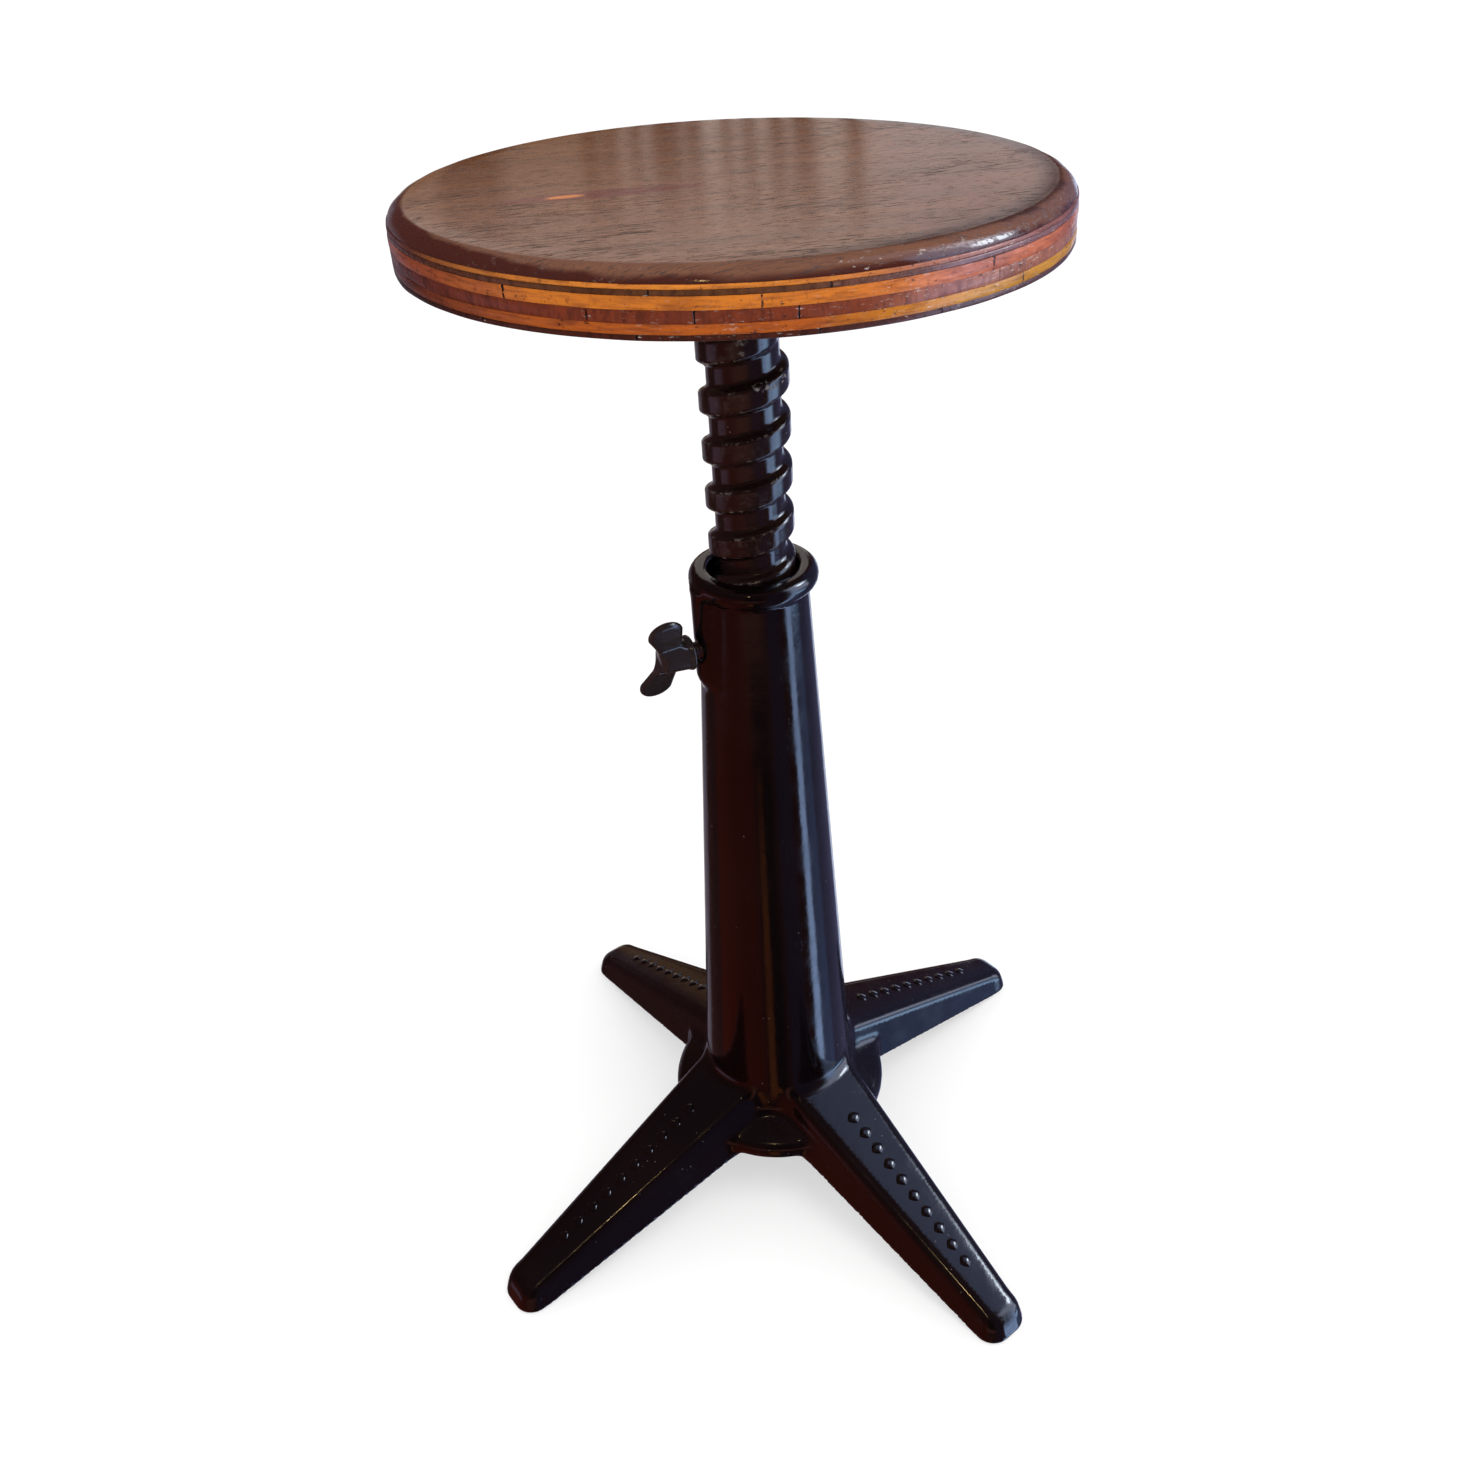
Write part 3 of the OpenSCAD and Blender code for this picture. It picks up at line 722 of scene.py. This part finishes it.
def arc_rows(bottom, top):
    """Heights evenly spaced round the arc of the top ply's rounded edge."""
    start = math.acos(1 - (top - bottom) / SEAT_ROUND)
    return top - SEAT_ROUND * (1 - np.cos(np.linspace(start, 0, ARC_RINGS)))


def edge_wander(waves):
    """A few faint waves round a ply's edge."""
    turn = np.arange(SEAT_COLUMNS) * 2 * math.pi / SEAT_COLUMNS
    wander = 0
    for _ in range(7):
        height = waves.uniform(0.02, 0.07)
        count = waves.integers(3, 40)
        wander = wander + height * np.sin(turn * count + waves.uniform(0, 6.3))
    return wander


def ply_rings(k, last, bottom, top, low, high, wander):
    """(radii, heights) of ply k, from its lower face's middle round its edge to its upper face's middle."""
    radii, heights = [1.0, SEAT_R * 0.6], [bottom, bottom]
    rows = arc_rows(bottom, top) if last else np.linspace(bottom, top, EDGE_RINGS)
    for h in rows:
        sunk = 0.0 if k % 2 else ORANGE_SUNK
        if h in (rows[0], rows[-1]):
            sunk += CORNER_SUNK
        if last and h == top:
            sunk = 0.0
        radii.append(seat_radius(h, low, high) - EDGE_MARGIN - sunk + wander)
        heights.append(h - WORN_DROP * last * (h - bottom) / (top - bottom))
    for rho in (148.5, 147, 145.5, 144, 142.5, WORN_FROM, 100, 50, 1) if last else (130, 90, 50, 1):
        radii.append(rho)
        heights.append(top - last * worn_drop(rho))
    return radii, heights


def make_plies(top_finish, under_finish, finishes):
    """Each ply is its own solid. Its edge wanders a little and its corners are eased."""
    names = sorted(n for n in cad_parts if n.startswith("seat_ply_"))
    low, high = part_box(names[0])[0].z / MM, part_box(names[-1])[1].z / MM
    waves = np.random.default_rng(7)
    for k, name in enumerate(names):
        bottom, top = (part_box(name)[i].z / MM for i in (0, 1))
        last = name == names[-1]
        radii, heights = ply_rings(k, last, bottom, top, low, high, edge_wander(waves))
        finish = top_finish if last else finishes[k]
        disc = revolved(f"{name}_layer", radii, heights, finish, SEAT_COLUMNS, 60)
        if k == 0:
            disc.data.materials.append(under_finish)
            for face in disc.data.polygons:
                face.material_index = int(face.normal.z < -0.9)
        place(disc, "seat", "seat_face" if last else ("red_ply", "orange_ply")[k % 2], name)


def finish_cad(names, material, bevel=0.0):
    """Gives carried-over CAD nodes their material, and eased edges where asked."""
    for name in names:
        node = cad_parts[name]
        node.data.materials.clear()
        node.data.materials.append(material)
        if bevel:
            ease = node.modifiers.new("ease", "BEVEL")
            ease.width = bevel * MM
            ease.segments = 3
            ease.limit_method = "ANGLE"
            ease.angle_limit = math.radians(50)
            ease.harden_normals = True


# ---- studio ----


def make_floor(half=30):
    """A pale floor that reaches half metres out to each side. It glows a little, so that it stays pale."""
    mesh = bpy.data.meshes.new("floor")
    corners = [(-half, -half, 0), (half, -half, 0), (half, half, 0), (-half, half, 0)]
    mesh.from_pydata(corners, [], [(0, 1, 2, 3)])
    floor = bpy.data.objects.new("floor", mesh)
    bpy.context.scene.collection.objects.link(floor)
    s = Shader("pale_floor")
    mottle = s.ramp(s.noise(s.coords, 3, 3), 0.3, 0.7)
    colour = s.mix(mottle, (0.49, 0.49, 0.49), (0.51, 0.51, 0.51))
    s.bsdf.inputs["Emission Color"].default_value = (1.0, 1.0, 1.0, 1.0)
    s.bsdf.inputs["Emission Strength"].default_value = 0.5
    mesh.materials.append(s.finish(colour, 0.9, s.bump(s.noise(s.coords, 400, 2), 0.02, 0.0002)))
    floor.visible_glossy = False


# What the varnish and enamel mirror, laid over one another: compass direction of the middle, half width and
# softness, then height above the horizon the same way, all in degrees, and the colour.
ROOM_TONE = (0.08, 0.03, 0.03)
ROOM = [
    ((-145, 32, 22), (-32, 32, 10), (0.2, 0.032, 0.02)),  # warm furniture on the left
    ((-165, 8, 16), (-18, 5, 4), (0.4, 0.24, 0.34)),
    ((-84, 8, 12), (-20, 60, 20), (0.022, 0.012, 0.018)),  # the dark gap in front
    ((-92, 10, 28), (-17, 5, 5), (0.34, 0.12, 0.09)),
    ((-92, 3, 4), (-43, 9, 5), (0.4, 0.11, 0.035)),  # a lamplit post
    ((-48, 9, 10), (-20, 60, 20), (0.07, 0.045, 0.1)),
    ((42, 24, 18), (-20, 60, 20), (0.12, 0.12, 0.24)),
    ((76, 5, 3), (-36, 28, 10), (0.9, 1.05, 1.4)),  # windows behind
    ((113, 4, 3), (-36, 28, 10), (0.75, 0.68, 0.62)),
    ((130, 10, 8), (-25, 24, 10), (0.22, 0.18, 0.23)),
    ((91, 5, 4), (9, 8, 6), (0.6, 0.54, 0.55)),  # the far wall
    ((100, 6, 4), (9, 9, 6), (0.57, 0.49, 0.45)),
    ((108, 4, 4), (10, 9, 6), (0.24, 0.13, 0.07)),
    ((103, 10, 5), (24, 8, 8), (0.7, 0.62, 0.58)),
    ((0, 180, 0.1), (80, 30, 15), (0.09, 0.05, 0.06)),  # the ceiling
    ((17, 18, 10), (58, 8, 8), (0.5, 0.6, 1.0)),  # the window on the right
    ((2, 14, 10), (20, 22, 14), (2.2, 2.5, 3.4)),
    ((19, 8, 6), (38, 8, 8), (4.5, 5.2, 6.6)),
    ((6, 7, 6), (-29, 20, 12), (0.2, 0.27, 0.56)),
    ((-3, 6, 17), (-17, 5, 4), (1.9, 2.9, 4.4)),
    ((-12, 3, 6), (-28, 38, 14), (1.7, 2.4, 4.0)),
]
# Chair rails along the far wall: compass direction and half width, in degrees
RAILS = [
    (93.0, 0.22), (95.0, 0.3), (96.1, 0.2), (97.2, 0.16), (98.1, 0.13), (99.4, 0.2),
    (100.5, 0.4), (101.7, 0.14), (102.7, 0.16), (103.5, 0.2), (108.4, 0.9),
]
RAIL_TOP, RAIL_FADED, RAIL_SHARE, RAIL_TONE = 10.8, 14.0, 0.97, (0.06, 0.022, 0.01)
SOFT_LIGHT = (1.12, 1.12, 1.12)
# Where the camera stands, in metres, how it is turned about X, Y and Z, in degrees, and its lens
CAMERA_SPOT, CAMERA_TURN = (0.09177, -0.65911, 0.78575), (57.513, 1.905, 5.279)
CAMERA_LENS, CAMERA_SHIFT = 33.47, (-0.04134, -0.02183)


class Sky(Nodes):
    """The world's nodes."""

    def __init__(self):
        world = bpy.data.worlds.new("studio")
        bpy.context.scene.world = world
        world.use_nodes = True
        world.cycles.sampling_method = "NONE"
        super().__init__(world.node_tree)
        self.tree.nodes.clear()

    def band(self, value, middle, half, soft):
        """1 within half of the middle, falling to 0 over soft."""
        return self.ramp(self.math("ABSOLUTE", self.math("SUBTRACT", value, middle)), half + soft, half)


def make_room():
    """White for the soft light; the varnish and the enamel mirror a dim room with a window on the right."""
    sky = Sky()
    direction = sky.node("ShaderNodeTexCoord", {}).outputs["Generated"]
    x, y, z = sky.node("ShaderNodeSeparateXYZ", {"Vector": direction}).outputs
    azimuth = sky.math("MULTIPLY", sky.math("ARCTAN2", y, x), 180 / math.pi)
    rise = sky.math("MULTIPLY", sky.math("ARCSINE", z), 180 / math.pi)
    room = ROOM_TONE
    for across, up, tone in ROOM:
        room = sky.mix(sky.math("MULTIPLY", sky.band(azimuth, *across), sky.band(rise, *up)), room, tone)
    below = sky.ramp(rise, RAIL_FADED, RAIL_TOP)
    for across, half in RAILS:
        rail = sky.math("MULTIPLY", sky.band(azimuth, across, half, half), below)
        room = sky.mix(sky.math("MULTIPLY", rail, RAIL_SHARE), room, RAIL_TONE)
    rays = sky.node("ShaderNodeLightPath", {}).outputs
    colour = sky.mix(rays["Is Glossy Ray"], SOFT_LIGHT, room)
    background = sky.node("ShaderNodeBackground", {"Color": colour, "Strength": 1.0})
    sky.node("ShaderNodeOutputWorld", {"Surface": background.outputs[0]})


def make_light(name, spot, target, size, power, colour, glossy):
    """A round lamp that either lights the surfaces or, if glossy, only shows in what they mirror."""
    light = bpy.data.lights.new(name, "AREA")
    light.shape = "DISK"
    light.size, light.energy, light.color = size, power, colour
    lamp = bpy.data.objects.new(name, light)
    bpy.context.scene.collection.objects.link(lamp)
    lamp.location = spot
    lamp.rotation_mode = "QUATERNION"
    lamp.rotation_quaternion = (Vector(target) - Vector(spot)).to_track_quat("-Z", "Y")
    lamp.visible_glossy = glossy
    lamp.visible_diffuse = not glossy
    lamp.visible_camera = False


def make_camera():
    camera = bpy.data.objects.new("camera", bpy.data.cameras.new("camera"))
    bpy.context.scene.collection.objects.link(camera)
    turn = Euler([math.radians(a) for a in CAMERA_TURN]).to_matrix().to_4x4()
    camera.matrix_world = Matrix.Translation(CAMERA_SPOT) @ turn
    camera.data.sensor_width = 36.0
    camera.data.lens = CAMERA_LENS
    camera.data.shift_x, camera.data.shift_y = CAMERA_SHIFT
    camera.data.clip_start = 0.01
    bpy.context.scene.camera = camera


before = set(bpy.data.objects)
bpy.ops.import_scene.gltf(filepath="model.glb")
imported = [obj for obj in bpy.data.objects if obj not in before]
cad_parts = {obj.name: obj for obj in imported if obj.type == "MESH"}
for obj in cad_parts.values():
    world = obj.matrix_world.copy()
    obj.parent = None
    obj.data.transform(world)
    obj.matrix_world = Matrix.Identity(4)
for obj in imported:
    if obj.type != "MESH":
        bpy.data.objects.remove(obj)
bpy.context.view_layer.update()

casting_enamel = black_enamel("black_enamel", (0.0013, 0.0007, 0.0009), (0.0032, 0.0015, 0.0014))
worn_enamel = black_enamel("worn_enamel", (0.005, 0.0022, 0.002), (0.011, 0.0048, 0.0042), worn=True)
handled_enamel = black_enamel("handled_enamel", (0.01, 0.007, 0.0075), (0.022, 0.016, 0.016), (0.15, 0.27))
steel = bare_metal("dull_steel", (0.42, 0.4, 0.37), 0.32, lines=4)
make_pedestal(casting_enamel)
make_leg_marks(casting_enamel)
make_spindle(worn_enamel)
make_wing_screw(handled_enamel, steel)

# From the bottom up: colour at the front, on the left with painted shade and on the right with painted light
# and sheen, then long grain, splits and seed
edges = [
    ply_edge("edge_bottom", (0.06, 0.013, 0.007), (0.035, 0.013, 0.011), (0.1, 0.045, 0.045), False, 14, 1),
    ply_edge("edge_lower", (0.4, 0.085, 0.007), (0.1, 0.02, 0.012), (0.55, 0.25, 0.02), True, 9, 2),
    ply_edge("edge_red", (0.17, 0.03, 0.01), (0.1, 0.021, 0.016), (0.34, 0.13, 0.085), False, 24, 3),
    ply_edge("edge_bright", (0.58, 0.165, 0.014), (0.26, 0.052, 0.018), (0.5, 0.14, 0.065), True, 8, 4),
    ply_edge("edge_brown", (0.11, 0.038, 0.013), (0.07, 0.022, 0.017), (0.2, 0.1, 0.11), False, 12, 5),
    ply_edge("edge_line", (0.6, 0.19, 0.022), (0.09, 0.024, 0.017), (0.24, 0.09, 0.08), True, 6, 6),
]
make_plies(seat_top(), seat_underside(), edges)

finish_cad(["seat_flange"], casting_enamel, 0.8)
finish_cad(["nut_pin", "end_bolt", "stop_washer", "flange_pin", "seat_screws"], steel, 0.3)
finish_cad(["thread_nut"], bare_metal("greased_iron", (0.1, 0.09, 0.08), 0.45, 0.6))
finish_cad(["pressure_pad"], bare_metal("turned_brass", (0.72, 0.5, 0.2), 0.28, lines=4), 0.4)

make_floor()
make_room()
make_light("soft_key", (0.9, -0.6, 2.2), (0, 0, 0.4), 1.4, 14, (1.0, 0.98, 0.96), False)
make_light("warm_glint", (-0.1, -1.5, 1.9), (0, 0, 0.4), 0.05, 1.0, (1.0, 0.72, 0.32), True)
make_light("cool_glint", (1.74, 0.37, 1.6), (0, 0, 0.3), 0.5, 8, (0.85, 0.95, 1.0), True)
make_camera()
bpy.context.scene.view_settings.view_transform = "Standard"
